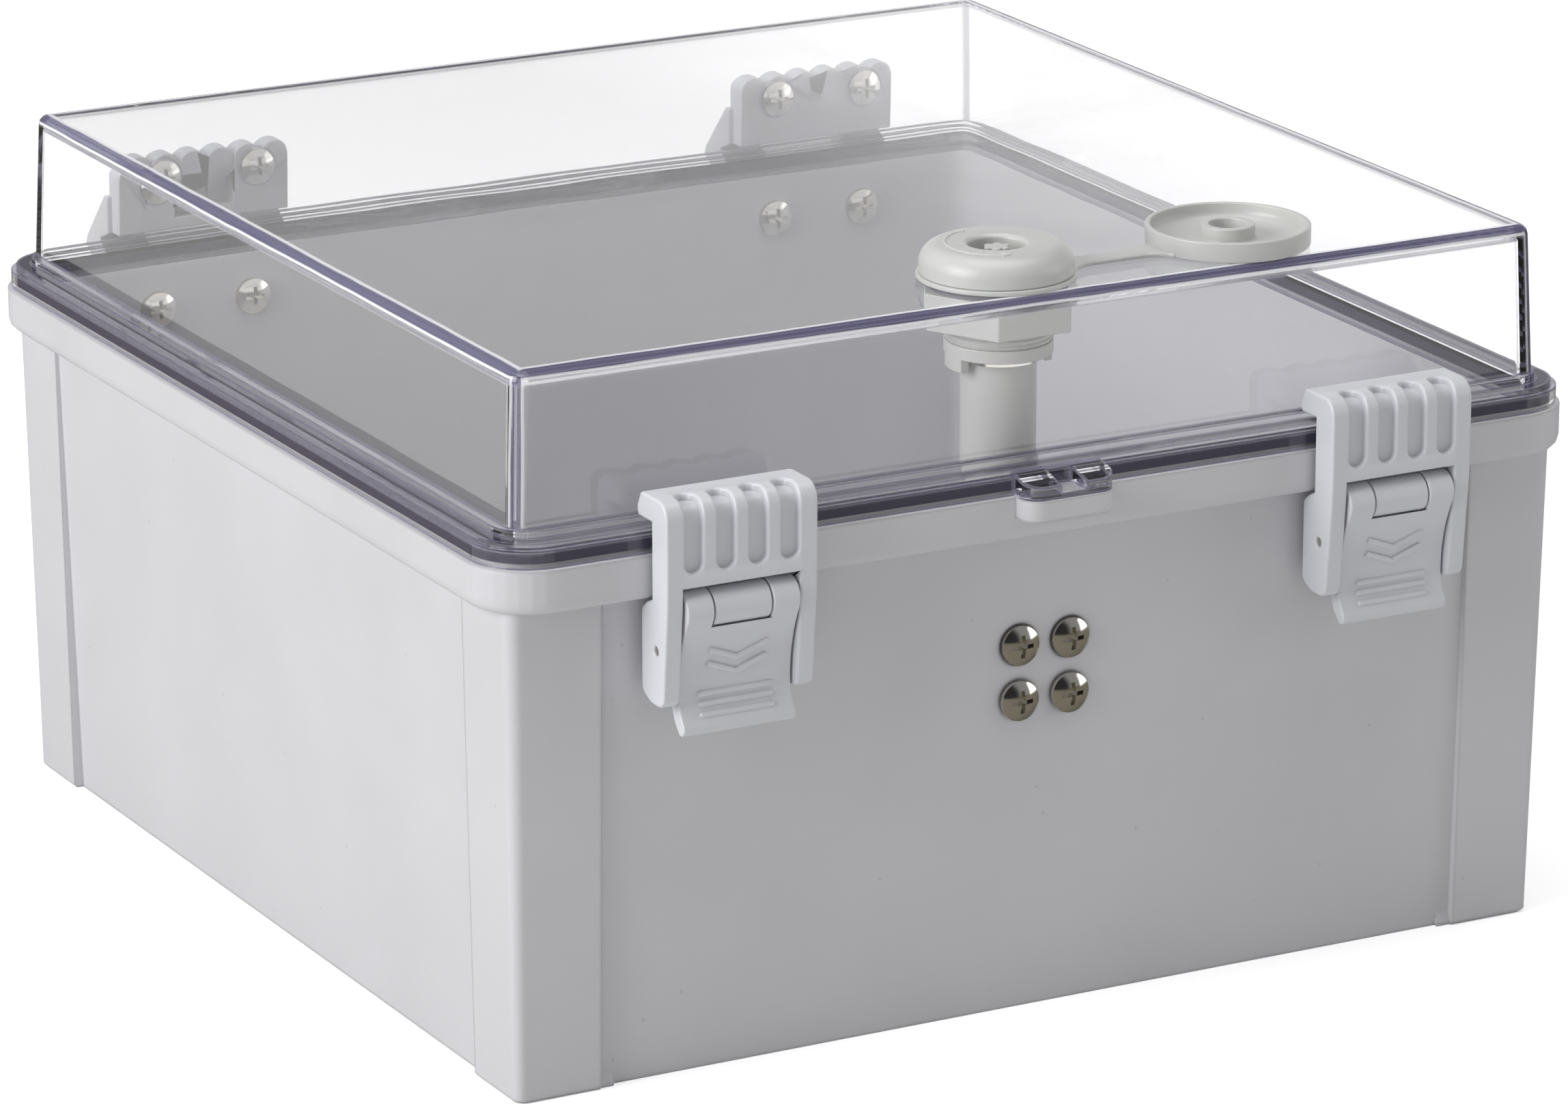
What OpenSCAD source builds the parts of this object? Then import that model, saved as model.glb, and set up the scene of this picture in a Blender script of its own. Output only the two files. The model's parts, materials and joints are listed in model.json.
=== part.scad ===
// Hinged polycarbonate enclosure: an opaque base and a clear raised cover, joined by two
// pinned hinges behind and two draw latches in front, with a quarter-turn lock whose
// weather cap hangs on a strap. +Z is up, the latches face -Y and the hinges +Y. The
// origin is the centre of the base's underside.

/* [Base] */
// Width and depth of the base at its foot
foot_w = 285; // [270:1:290]
// Width and depth of the rim
rim_w = 300; // [298:1:304]
// Height of the rim's upper face
rim_z = 133.5; // [128:0.5:140]
// Thickness of the floor and the walls
wall_t = 4; // [3:0.5:5]
// Width of the flat panel between the corner columns
panel_w = 240; // [220:1:244]

/* [Cover] */
// Height of the closed enclosure, without its lock
total_h = 179; // [170:0.5:200]
// Width of the cover's flange
flange_w = 298; // [296:1:300]
// Width of the dome at its foot
dome_w = 282.8; // [280:0.2:284]
// Thickness of the clear wall
cover_t = 3; // [2.5:0.25:4]

/* [Latches] */
// Distance from the middle to each latch
latch_x = 90.7; // [80:0.1:96]
// Width of the hook frame
hook_w = 40; // [36:1:42]
// Width of the lever between the frame's legs
lever_w = 29.8; // [28:0.2:30]

/* [Hinges] */
// Distance from the middle to each hinge
hinge_x = 91.5; // [80:0.5:94]
// Width of each leaf
leaf_w = 47; // [44:1:50]
// Radius of the knuckles
knuckle_r = 4.8; // [4.4:0.1:5]
// Radius of the hinge pin
hinge_pin_r = 2; // [1.5:0.1:2.5]

/* [Lock] */
// Radius of the lock's disc
disc_r = 18.8; // [18:0.1:19]
// Radius of the turning tube
tube_r = 9.25; // [8.5:0.05:9.5]
// Radius of the threaded shank
shank_r = 13; // [12:0.1:13.5]

/* [Hidden] */

BASE_GREY = [0.82, 0.82, 0.84];
LATCH_GREY = [0.76, 0.77, 0.80];
PORT_GREY = [0.80, 0.80, 0.78];
CLEAR = [0.80, 0.86, 0.92, 0.35];
SEAL_BLACK = [0.16, 0.16, 0.17];
STEEL = [0.72, 0.72, 0.74];
BRASS = [0.78, 0.62, 0.30];

$fn = 64;
HULL_FN = 32;
CUT = 1;                         // how far a cutter runs past the face that it opens

// Base
foot_half = foot_w / 2;
rim_half = rim_w / 2;
rim_r = 16;                      // the rim's corner radius
column_r = 2.5;                  // the columns' corner radius
lip_round = 3;                   // rounding under the rim
lip_foot_z = rim_z - 11.1;       // the rim's underside
wall_top_half = foot_half + 2.1; // the moulding's draft over the wall's height
panel_low_half = foot_half - 2.6;
panel_high_half = wall_top_half - 1;
cavity_low_half = panel_low_half - wall_t;
cavity_high_half = rim_half - 10.5;
tongue_half = rim_half - 5;
tongue_w = 1.4;
tongue_h = 1.1;
boss_r = 6;
foot_rib_w = 3.8;
plate_boss_x = 112;              // bosses for a mounting plate
plate_boss_h = 10;
fixing_x = 126;                  // blind holes under the floor
fixing_hole_r = 2.6;
fixing_depth = 11;
fixing_boss_h = 12;
insert_r = 2.8;
insert_hole_r = 1.65;
insert_h = 8;

function panel_y(z) = panel_low_half + (panel_high_half - panel_low_half) * z / lip_foot_z;
function cavity_y(z) =
    cavity_low_half + (cavity_high_half - cavity_low_half) * (z - wall_t) / (rim_z - wall_t);

// Tab in the middle of the front
tab_w = 24.6;
tab_reach = 7.6;
tab_r = 4.5;
tab_channel_w = 6.9;
tab_channel_d = 3.8;
tab_h = 5.2;
tab_slope = 2.2;                 // how far the clear tab's top falls towards its front

// Cover
seam = 0.2;                      // open line between the rim and the flange
flange_z = rim_z + seam;
flange_half = flange_w / 2;
flange_r = rim_r - 1;
flange_top_z = flange_z + 4.5;
step_z = flange_z + 5.9;
ridge_z = flange_z + 7.8;
dome_half = dome_w / 2;
dome_draft = 1.3;
dome_r = 4;
dome_fillet = 2.5;
dome_top_half = dome_half - dome_draft;
inner_top_z = total_h - cover_t;
groove_half = tongue_half + 2.6;
groove_w = 5.2;
groove_h = 4;

function dome_y(z) = dome_half - dome_draft * (z - ridge_z) / (total_h - ridge_z);

// Latches: profiles are drawn from the lever's pivot, outward and up
latch_y = 155.2;
latch_z = 120.7;
ear_r = 4.9;
latch_front = latch_y + ear_r;   // how far the levers stand in front of the middle
waist_out = -0.2;                // the lever's front at its narrowest
waist_up = -21;
flare_r = 10.9;
flare_turn = 38;
tip_r = 1.8;
rib_r = 0.7;
rib_pitch = 2.45;
rib_length = 20;
hook_pin_out = -1.9;
hook_pin_up = -9.6;
pivot_pin_r = 1.25;
hook_pin_r = 1.05;
pin_hold = 0.02;                 // radial gap where a pin is held
pin_run = 0.06;                  // radial gap where a pin turns
bracket_barrel_r = 4.7;
bracket_barrel_w = 14.8;
lever_slot_w = bracket_barrel_w + 0.8;
hook_window_w = lever_w + 1;
hook_window_top = 6.2;
grip_pitch = 8.45;
grip_r = 2.4;
grip_d = 1.8;
grip_low = 12.1;
hook_bend = [-0.7, 22.9];        // centre of the rounding between the hook's front and top
hook_bend_r = 4.6;
bracket_plate_w = 29;
bracket_screw_z = 106;
bracket_screw_x = 9;

// Hinges
hinge_z = rim_z + 0.1;
hinge_y = latch_front - knuckle_r;
middle_knuckle_w = 23.6;
barrel_w = leaf_w + 3;
knuckle_gap = 0.3;
side_knuckle_w = (barrel_w - middle_knuckle_w) / 2 - knuckle_gap;
side_knuckle_x = (barrel_w - side_knuckle_w) / 2;
leaf_low_z = 106;
leaf_pocket_z = 128.5;           // roof of the pocket under the rim
pocket_y = panel_high_half + 0.6;
leaf_top_z = 161.5;
leaf_face_y = 147.5;
flutes = 6;
hinge_screw_x = 13.5;
lower_screw_z = 121.5;
upper_screw_z = 155.5;
leaf_hole_d = 5;                 // depth of the screw holes in the leaves
leaf_core_w = 15;                // pocket between the upper leaf's screws, on the cover's side
leaf_core_wall = 2.2;

// Fasteners
small_screw_r = 2;
small_head_r = 4.75;
small_head_h = 2.8;
m5_r = 2.5;
m5_head_r = 5;
m5_head_h = 3.4;
seat_gap = 0.4;                  // a screw seat is this much wider than the head
hole_gap = 0.2;
strike_pitch = 14;
strike_screw_z = 86.9;
strike_seat_y = panel_y(strike_screw_z - strike_pitch / 2 - m5_head_r) - 0.1;

// Lock
lock_y = -118.5;
tether_t = 1.2;
disc_z = total_h + tether_t;
disc_top = total_h + 8.5;
disc_fillet = 5;
recess_r = 7;
recess_chamfer = 0.8;
shoulder_z = total_h + 2.1;
shank_end_z = 164;
seal_t = 1.2;
seal_r = 16.8;
nut_h = 6.8;
nut_corner_r = 20;
collar_r = 13.3;
collar_h = 3.3;
collar_lug_h = 3.2;
tube_end_z = 105;
lock_run = 0.05;
post_top_z = disc_top - 1;
post_r = 2.3;
post_lobe_r = 1;
post_lobes = 6;
cam_t = 4;
cam_reach = 15.9;
cam_tip_r = 5;
cam_screw_r = 2.4;

// Strike for the cam
strike_t = 2;
strike_w = 30;
shelf_w = 24;
shelf_gap = 0.6;
shelf_z = tube_end_z + shelf_gap;
shelf_t = 2.4;
strike_low_z = 74;
strike_back_y = cavity_y(strike_low_z) - 0.9;
strike_face_y = strike_back_y - strike_t;
shelf_reach = 5.6;

// Weather cap
strap_w = 6.4;
strap_flare_r = 8;               // the strap widens into the ring and into the cap
tether_ring_r = disc_r + 0.7;
fold_x = 32.5;
fold_z = total_h + 5.1;
cap_x = 2 * fold_x;
cap_r = 20.3;
cap_inner_r = disc_r + 0.2;
cap_floor_t = 1.5;
cap_h = 5.1;
cap_boss_r = 6.7;
cap_boss_hole_r = 4.7;
cap_corner_r = 2;
cap_boss_h = 3.5;

// ---- shared shapes ----

// Square of half width half, with corners of radius r
module rounded_square(half, r) {
    square([2 * half, 2 * (half - r)], center = true);
    square([2 * (half - r), 2 * half], center = true);
    for (x = [-1, 1], y = [-1, 1])
        translate([x * (half - r), y * (half - r)]) circle(r);
}

module slab(half, r, z0, z1) {
    translate([0, 0, z0]) linear_extrude(z1 - z0) rounded_square(half, r);
}

// Ring between two rounded squares
module frame_ring(outer, inner, r, z0, z1) {
    translate([0, 0, z0]) linear_extrude(z1 - z0) difference() {
        rounded_square(outer, r);
        rounded_square(inner, r - (outer - inner));
    }
}

// Side profile on the front, drawn outward and up, as wide as width
module front_profile(width) {
    rotate([90, 0, -90]) linear_extrude(width, center = true) children();
}

// The same on the back
module rear_profile(width) {
    rotate([90, 0, 90]) linear_extrude(width, center = true) children();
}

module cylinder_x(r, width) {
    rotate([0, 90, 0]) cylinder(r = r, h = width, center = true);
}

// Cylinder from y0 to y1
module cylinder_y(r, y0, y1) {
    translate([0, y0, 0]) rotate([-90, 0, 0]) cylinder(r = r, h = y1 - y0);
}

// Points of an arc
function arc(cx, cy, r, from, to, steps) =
    [for (i = [0:steps]) let (a = from + (to - from) * i / steps)
        [cx + r * cos(a), cy + r * sin(a)]];

// Pan-head screw along +Z: its head below z = 0 is up side down, its shank above
module pan_screw(shank_r, length, head_r, head_h) {
    dome_r = head_r * 1.9;
    difference() {
        union() {
            cylinder(r = shank_r, h = length);
            intersection() {
                translate([0, 0, -head_h]) cylinder(r = head_r, h = head_h);
                translate([0, 0, dome_r - head_h]) sphere(dome_r);
            }
        }
        for (a = [0, 90]) rotate(a)
            translate([0, 0, -head_h])
                cube([head_r * 1.15, head_r * 0.22, head_h * 1.1], center = true);
    }
}

// ---- base ----

module base_outside() {
    hull() {
        slab(foot_half - 0.8, column_r, 0, 0.1, $fn = HULL_FN);
        slab(foot_half, column_r, 0.9, 1, $fn = HULL_FN);
        slab(wall_top_half, column_r + 1, lip_foot_z + 2, lip_foot_z + 2.1, $fn = HULL_FN);
    }
}

module panel_recess() {
    rear_profile(panel_w) polygon([
        [panel_y(-CUT), -CUT],
        [rim_half, -CUT],
        [rim_half, lip_foot_z + 1],
        [panel_y(lip_foot_z + 1), lip_foot_z + 1]
    ]);
}

// Short ribs that stand the front and back panels on the same level as the columns
module foot_ribs() {
    for (side = [-1, 1], turn = [0, 180])
        rotate(turn) translate([side * (panel_w / 2 - foot_rib_w / 2 + 0.5), 0, 0])
            rear_profile(foot_rib_w + 1) polygon([
                [panel_low_half - 1, 0],
                [foot_half - 1.3, 0],
                [foot_half - 1.1, 0.9],
                [panel_y(3.2), 3.2],
                [panel_low_half - 1, 3.2]
            ]);
}

module rim_lip() {
    hull() {
        for (a = [0, 30, 60])
            let (inset = lip_round * (1 - sin(a)), up = lip_round * (1 - cos(a)))
                slab(rim_half - inset, rim_r - inset, lip_foot_z + up, lip_foot_z + up + 0.05,
                    $fn = HULL_FN);
        slab(rim_half, rim_r, lip_foot_z + lip_round, rim_z, $fn = HULL_FN);
    }
}

module cavity() {
    hull() {
        slab(cavity_low_half - 3, 2, wall_t, wall_t + 0.1, $fn = HULL_FN);
        slab(cavity_low_half, 3, wall_t + 3, wall_t + 3.1, $fn = HULL_FN);
        slab(cavity_high_half, 8, rim_z + CUT, rim_z + CUT + 0.1, $fn = HULL_FN);
    }
}

// Solid corners over the fixing holes
module corner_pads() {
    inner = fixing_x - boss_r;
    for (a = [0:90:270]) rotate(a) translate([inner, inner, 1])
        cube([cavity_low_half + 2 - inner, cavity_low_half + 2 - inner,
            wall_t + fixing_boss_h - 1]);
}

// Outline of the tab at the front, seen from above
module tab_outline(face_half) {
    depth = rim_half + tab_reach - 1 - face_half;
    translate([0, -face_half - depth / 2]) {
        square([tab_w - 2 * tab_r, depth], center = true);
        translate([0, tab_r / 2]) square([tab_w, depth - tab_r], center = true);
        for (x = [-1, 1])
            translate([x * (tab_w / 2 - tab_r), tab_r - depth / 2]) circle(tab_r);
    }
}

module at_corners(x) {
    for (sx = [-1, 1], sy = [-1, 1]) translate([sx * x, sy * x, 0]) children();
}

module at_hinges() {
    for (side = [-1, 1]) translate([side * hinge_x, 0, 0]) children();
}

module at_latches() {
    for (side = [-1, 1]) translate([side * latch_x, 0, 0]) children();
}

// The two screws of one hinge leaf, as children along +Y from the origin
module at_leaf_screws(y, z) {
    at_hinges() for (x = [-1, 1]) translate([x * hinge_screw_x, y, z]) children();
}

module at_bracket_screws(y) {
    at_latches() for (x = [-1, 1])
        translate([x * bracket_screw_x, -y, bracket_screw_z]) children();
}

module at_strike_screws(y) {
    for (x = [-1, 1], z = [-1, 1])
        translate([x * strike_pitch / 2, y, strike_screw_z + z * strike_pitch / 2]) children();
}

lower_seat_y = cavity_y(lower_screw_z - small_head_r) + 0.1;
bracket_seat_y = cavity_y(bracket_screw_z) + 0.2;
upper_seat_y = dome_y(upper_screw_z) - cover_t + 0.25;

module base_shell() color(BASE_GREY) difference() {
    union() {
        difference() {
            union() {
                difference() {
                    base_outside();
                    for (a = [0:90:270]) rotate(a) panel_recess();
                }
                rim_lip();
                foot_ribs();
            }
            cavity();
        }
        frame_ring(tongue_half + tongue_w / 2, tongue_half - tongue_w / 2,
            rim_r - rim_half + tongue_half + tongue_w / 2, rim_z - 0.5, rim_z + tongue_h);
        translate([0, 0, rim_z - 5.1]) linear_extrude(5.1) tab_outline(rim_half - 2);
        at_corners(plate_boss_x) cylinder(r = boss_r, h = wall_t + plate_boss_h);
        corner_pads();
        translate([-strike_w / 2 - 2, -panel_y(strike_low_z) + 1, strike_low_z - 2])
            cube([strike_w + 4, panel_y(strike_low_z) - 1 - strike_back_y,
                shelf_z + shelf_t - strike_low_z + 4]);
    }
    // pockets under the rim for the lower leaves
    at_hinges() translate([-leaf_w / 2 - 0.3, pocket_y, lip_foot_z - 2])
        cube([leaf_w + 0.6, rim_half, leaf_pocket_z - lip_foot_z + 2]);
    at_corners(plate_boss_x) translate([0, 0, wall_t + plate_boss_h - insert_h])
        cylinder(r = insert_r, h = insert_h + CUT);
    at_corners(fixing_x) translate([0, 0, -CUT]) cylinder(r = fixing_hole_r, h = fixing_depth + CUT);
    at_leaf_screws(0, lower_screw_z) {
        cylinder_y(small_screw_r + hole_gap, 130, 150);
        cylinder_y(small_head_r + seat_gap, 130, lower_seat_y);
    }
    at_bracket_screws(0) {
        cylinder_y(small_screw_r + hole_gap, -150, -130);
        cylinder_y(small_head_r + seat_gap, -bracket_seat_y, -130);
    }
    at_strike_screws(0) {
        cylinder_y(m5_r + hole_gap, -150, -130);
        cylinder_y(m5_head_r + seat_gap, -150, -strike_seat_y);
    }
}

module floor_inserts() color(BRASS) at_corners(plate_boss_x)
    translate([0, 0, wall_t + plate_boss_h - insert_h]) difference() {
        cylinder(r = insert_r, h = insert_h);
        translate([0, 0, 1]) cylinder(r = insert_hole_r, h = insert_h);
    }

// ---- cover ----

module dome_outside() {
    hull() {
        slab(dome_half, dome_r, ridge_z - 1, ridge_z, $fn = HULL_FN);
        slab(dome_top_half, dome_r, total_h - dome_fillet - 0.1, total_h - dome_fillet, $fn = HULL_FN);
        for (a = [30, 60, 90])
            let (inset = dome_fillet * (1 - cos(a)), up = dome_fillet * sin(a))
                slab(dome_top_half - inset, dome_r - inset, total_h - dome_fillet + up - 0.05,
                    total_h - dome_fillet + up, $fn = HULL_FN);
    }
}

module dome_inside() {
    inner_r = dome_r - 2;
    hull() {
        slab(dome_half - cover_t, inner_r, flange_z - CUT, flange_z - CUT + 0.1, $fn = HULL_FN);
        slab(dome_top_half - cover_t, inner_r, inner_top_z - 1.2, inner_top_z - 1, $fn = HULL_FN);
        slab(dome_top_half - cover_t - 1, inner_r - 1, inner_top_z - 0.1, inner_top_z, $fn = HULL_FN);
    }
}

module lid_cover() color(CLEAR) difference() {
    union() {
        slab(flange_half, flange_r, flange_z, flange_top_z);
        slab(flange_half - 1.4, flange_r - 1.4, flange_top_z, step_z);
        slab(dome_half + 2.2, flange_r - 5.4, step_z, ridge_z);
        difference() {
            translate([0, 0, flange_z]) linear_extrude(tab_h) tab_outline(flange_half - 3);
            front_profile(tab_w + 2) polygon([
                [flange_half + 0.6, flange_z + tab_h],
                [flange_half + tab_reach + 1, flange_z + tab_h - tab_slope],
                [flange_half + tab_reach + 1, flange_z + tab_h + CUT],
                [flange_half + 0.6, flange_z + tab_h + CUT]
            ]);
        }
        dome_outside();
    }
    dome_inside();
    frame_ring(groove_half, groove_half - groove_w, flange_r - flange_half + groove_half,
        flange_z - CUT, flange_z + groove_h);
    translate([-tab_channel_w / 2, -flange_half - tab_reach - CUT, flange_z + tab_h - tab_channel_d])
        cube([tab_channel_w, tab_reach + 1, tab_channel_d + CUT]);
    translate([0, lock_y, inner_top_z - CUT]) cylinder(r = shank_r + hole_gap, h = cover_t + 2 * CUT);
    at_leaf_screws(0, upper_screw_z) {
        cylinder_y(small_screw_r + hole_gap, 130, 150);
        cylinder_y(small_head_r + seat_gap, 130, upper_seat_y);
    }
}

module rim_gasket() color(SEAL_BLACK)
    frame_ring(groove_half, groove_half - groove_w, flange_r - flange_half + groove_half,
        rim_z + tongue_h + 0.3, flange_z + groove_h);

// ---- hinges ----

module leaf_holes(seat_y, leaf_y, z) {
    for (x = [-1, 1]) translate([x * hinge_screw_x, 0, z])
        cylinder_y(small_screw_r + pin_hold, seat_y, leaf_y + leaf_hole_d);
}

module hinge_leaf_lower() color(LATCH_GREY) difference() {
    union() {
        rear_profile(leaf_w) polygon([
            [panel_y(leaf_low_z), leaf_low_z],
            [147, leaf_low_z],
            [rim_half - 0.5, leaf_low_z + 5],
            [rim_half - 0.5, leaf_pocket_z],
            [pocket_y, leaf_pocket_z],
            [pocket_y, lip_foot_z],
            [panel_high_half, lip_foot_z]
        ]);
        rear_profile(middle_knuckle_w) polygon([
            [rim_half - 1, leaf_low_z + 5],
            [rim_half + 1, leaf_low_z + 7],
            [latch_front - 1, leaf_pocket_z - 3],
            [latch_front, leaf_pocket_z],
            [latch_front, hinge_z],
            [hinge_y - knuckle_r, hinge_z],
            [hinge_y - knuckle_r, leaf_pocket_z],
            [rim_half - 1, leaf_pocket_z]
        ]);
        translate([0, hinge_y, hinge_z]) cylinder_x(knuckle_r, middle_knuckle_w);
    }
    translate([0, hinge_y, hinge_z]) cylinder_x(hinge_pin_r + pin_run, barrel_w);
    leaf_holes(panel_high_half - CUT, panel_high_half, lower_screw_z);
}

// Outline of the upper leaf's fluted top, seen from behind
module fluted_outline() {
    flute_r = leaf_w / flutes / 2;
    translate([-leaf_w / 2, 0]) square([leaf_w, leaf_top_z - flute_r]);
    for (i = [0:flutes - 1])
        translate([(2 * i + 1) * flute_r - leaf_w / 2, leaf_top_z - flute_r]) circle(flute_r);
}

module hinge_leaf_upper() color(LATCH_GREY) difference() {
    union() {
        intersection() {
            rear_profile(leaf_w) polygon([
                [dome_y(ridge_z + 0.8), ridge_z + 0.8],
                [leaf_face_y - 1, ridge_z + 0.8],
                [leaf_face_y, ridge_z + 1.8],
                [leaf_face_y, leaf_top_z - 3],
                [leaf_face_y - 1.5, leaf_top_z],
                [dome_y(leaf_top_z), leaf_top_z]
            ]);
            rotate([90, 0, 0]) translate([0, 0, -200]) linear_extrude(200) fluted_outline();
        }
        for (side = [-1, 1]) translate([side * side_knuckle_x, 0, 0]) {
            rear_profile(side_knuckle_w) polygon([
                [leaf_face_y - 2, ridge_z + 0.8],
                [hinge_y - knuckle_r, step_z + 0.6],
                [hinge_y - knuckle_r, hinge_z],
                [latch_front, hinge_z],
                [latch_front, hinge_z + 3],
                [latch_front - 1, hinge_z + 5.5],
                [leaf_face_y, leaf_top_z - 9],
                [leaf_face_y - 2, leaf_top_z - 9]
            ]);
            translate([0, hinge_y, hinge_z]) cylinder_x(knuckle_r, side_knuckle_w);
        }
    }
    translate([0, hinge_y, hinge_z]) cylinder_x(hinge_pin_r + pin_hold, barrel_w + 2);
    leaf_holes(dome_y(upper_screw_z) - CUT, dome_y(upper_screw_z), upper_screw_z);
    translate([-leaf_core_w / 2, 130, ridge_z + 4])
        cube([leaf_core_w, leaf_face_y - leaf_core_wall - 130, leaf_top_z - 6.5 - ridge_z - 4]);
}

module hinge_pin() color(STEEL) translate([0, hinge_y, hinge_z]) cylinder_x(hinge_pin_r, barrel_w);

module leaf_screws(seat_y, leaf_y, z) color(STEEL) at_leaf_screws(seat_y, z) rotate([-90, 0, 0])
    pan_screw(small_screw_r, leaf_y + leaf_hole_d - 0.5 - seat_y, small_head_r, small_head_h);

// ---- latches ----

module at_pivot() {
    translate([0, -latch_y, latch_z]) children();
}

// Bracket: a plate on the front panel, and a web out to the barrel under the rim
module latch_bracket() color(LATCH_GREY) difference() {
    union() {
        front_profile(bracket_plate_w) polygon([
            [panel_y(98), 98],
            [145.2, 98],
            [145.7, 98.6],
            [145.7, lip_foot_z - 0.8],
            [panel_y(lip_foot_z - 0.8), lip_foot_z - 0.8]
        ]);
        front_profile(bracket_barrel_w) polygon([
            [145.5, latch_z - 6],
            [149, latch_z - 5.4],
            [latch_y - 3, latch_z - 3.6],
            [latch_y, latch_z],
            [latch_y - 2.6, latch_z + 3.9],
            [149, lip_foot_z - 0.8],
            [145.5, lip_foot_z - 0.8]
        ]);
        at_pivot() cylinder_x(bracket_barrel_r, bracket_barrel_w);
    }
    at_pivot() cylinder_x(pivot_pin_r + pin_hold, bracket_barrel_w + 2);
    for (x = [-1, 1]) translate([x * bracket_screw_x, 0, bracket_screw_z])
        cylinder_y(small_screw_r + pin_hold, -145.2, -140);
}

module latch_bracket_screws() color(STEEL) at_bracket_screws(bracket_seat_y) rotate([90, 0, 0])
    pan_screw(small_screw_r, 145 - bracket_seat_y, small_head_r, small_head_h);

module latch_pivot_pin() color(STEEL) at_pivot() cylinder_x(pivot_pin_r, lever_w);

// The lever's front below its ears: one sweep down to the waist, then the flare of the tab
sweep_r = (pow(waist_up, 2) + pow(waist_out, 2) - pow(ear_r, 2)) / 2 / (ear_r - waist_out);
sweep_turn = atan2(-waist_up, sweep_r + waist_out);
tab_tip = [
    waist_out + flare_r - (flare_r + tip_r) * cos(flare_turn),
    waist_up - (flare_r + tip_r) * sin(flare_turn)
];

function flare_out(up) = waist_out + flare_r - sqrt(pow(flare_r, 2) - pow(up - waist_up, 2));

// Lever: two ears round the barrel, a shallow S down the front and a flared pull tab
module latch_lever() color(LATCH_GREY) at_pivot() difference() {
    union() {
        front_profile(lever_w) {
            circle(ear_r);
            polygon(concat(
                arc(0, 0, ear_r, 0, 5 - sweep_turn, 4),
                arc(waist_out + sweep_r, waist_up, sweep_r, 180 - sweep_turn, 177, 8),
                arc(waist_out + flare_r, waist_up, flare_r, 180, 176 + flare_turn, 5),
                arc(tab_tip.x, tab_tip.y, tip_r, flare_turn, -120, 8),
                [[-2.6, -27.6], [-3.9, -24.2], [-4.3, -21], [-4.6, -17], [-4.9, -12]],
                [[-4.9, -8], [-4.9, 0]]
            ));
        }
        for (i = [0:2]) let (up = waist_up - 0.1 - rib_pitch * i) translate([0, -flare_out(up), up]) {
            cylinder_x(rib_r, rib_length - 2 * rib_r);
            for (side = [-1, 1]) translate([side * (rib_length / 2 - rib_r), 0, 0])
                sphere(rib_r, $fn = 24);
        }
    }
    // the slot for the barrel
    translate([-lever_slot_w / 2, -ear_r - CUT, -3.4])
        cube([lever_slot_w, 2 * ear_r + 2 * CUT, ear_r + 3.4 + CUT]);
    cylinder_x(bracket_barrel_r + 0.5, lever_slot_w);
    translate([-lever_slot_w / 2, 0.5, -7]) cube([lever_slot_w, ear_r, 8]);
    cylinder_x(pivot_pin_r + pin_run, lever_w + 2);
    translate([0, -hook_pin_out, hook_pin_up]) cylinder_x(hook_pin_r + pin_hold, lever_w + 2);
}

// Finger groove in the hook: up its front, over the bend and onto its top
module grip_groove() {
    floor_y = grip_d - hook_bend.x - hook_bend_r;
    translate([-grip_r, -6, grip_low]) cube([2 * grip_r, 6 + floor_y, hook_bend.y - grip_low]);
    translate([0, 0, grip_low]) cylinder_y(grip_r, -6, floor_y);
    front_profile(2 * grip_r) polygon(concat(
        arc(hook_bend.x, hook_bend.y, hook_bend_r - grip_d, 0, 90, 8),
        arc(hook_bend.x, hook_bend.y, hook_bend_r + 1.5, 90, 0, 8)
    ));
    translate([0, -hook_bend.x, hook_bend.y + hook_bend_r - grip_d]) cylinder(r = grip_r, h = 5);
}

// Hook frame: a bar over the flange and two legs beside the lever
module latch_hook() color(LATCH_GREY) at_pivot() difference() {
    front_profile(hook_w) polygon(concat(
        [[-3.8, 21.3], [-3.8, 2.6], [-6.6, 1.4], [-8.9, -0.4], [-9.1, -1.4]],
        arc(-6.6, -19.4, 2.5, 180, 250, 4),
        [[-4.7, -23]],
        arc(-1, -20.2, 2.9, 270, 360, 5),
        [[2.5, -12.7], [3.7, 1.1], [3.9, 6]],
        arc(hook_bend.x, hook_bend.y, hook_bend_r, 0, 90, 10),
        [[-8.2, 27.5]],
        arc(-8.4, 26, 1.5, 90, 170, 3),
        [[-11.2, 23.5], [-10.7, 21.3]]
    ));
    translate([-hook_window_w / 2, -10, -30]) cube([hook_window_w, 25, 30 + hook_window_top]);
    for (i = [-1.5:1.5]) translate([i * grip_pitch, 0, 0]) grip_groove();
    translate([0, -hook_pin_out, hook_pin_up]) cylinder_x(hook_pin_r + pin_run, hook_w + 2);
}

module hook_pin() color(STEEL) at_pivot()
    translate([0, -hook_pin_out, hook_pin_up]) cylinder_x(hook_pin_r, hook_w - 1);

// ---- lock ----

module at_lock() {
    translate([0, lock_y, 0]) children();
}

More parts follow.
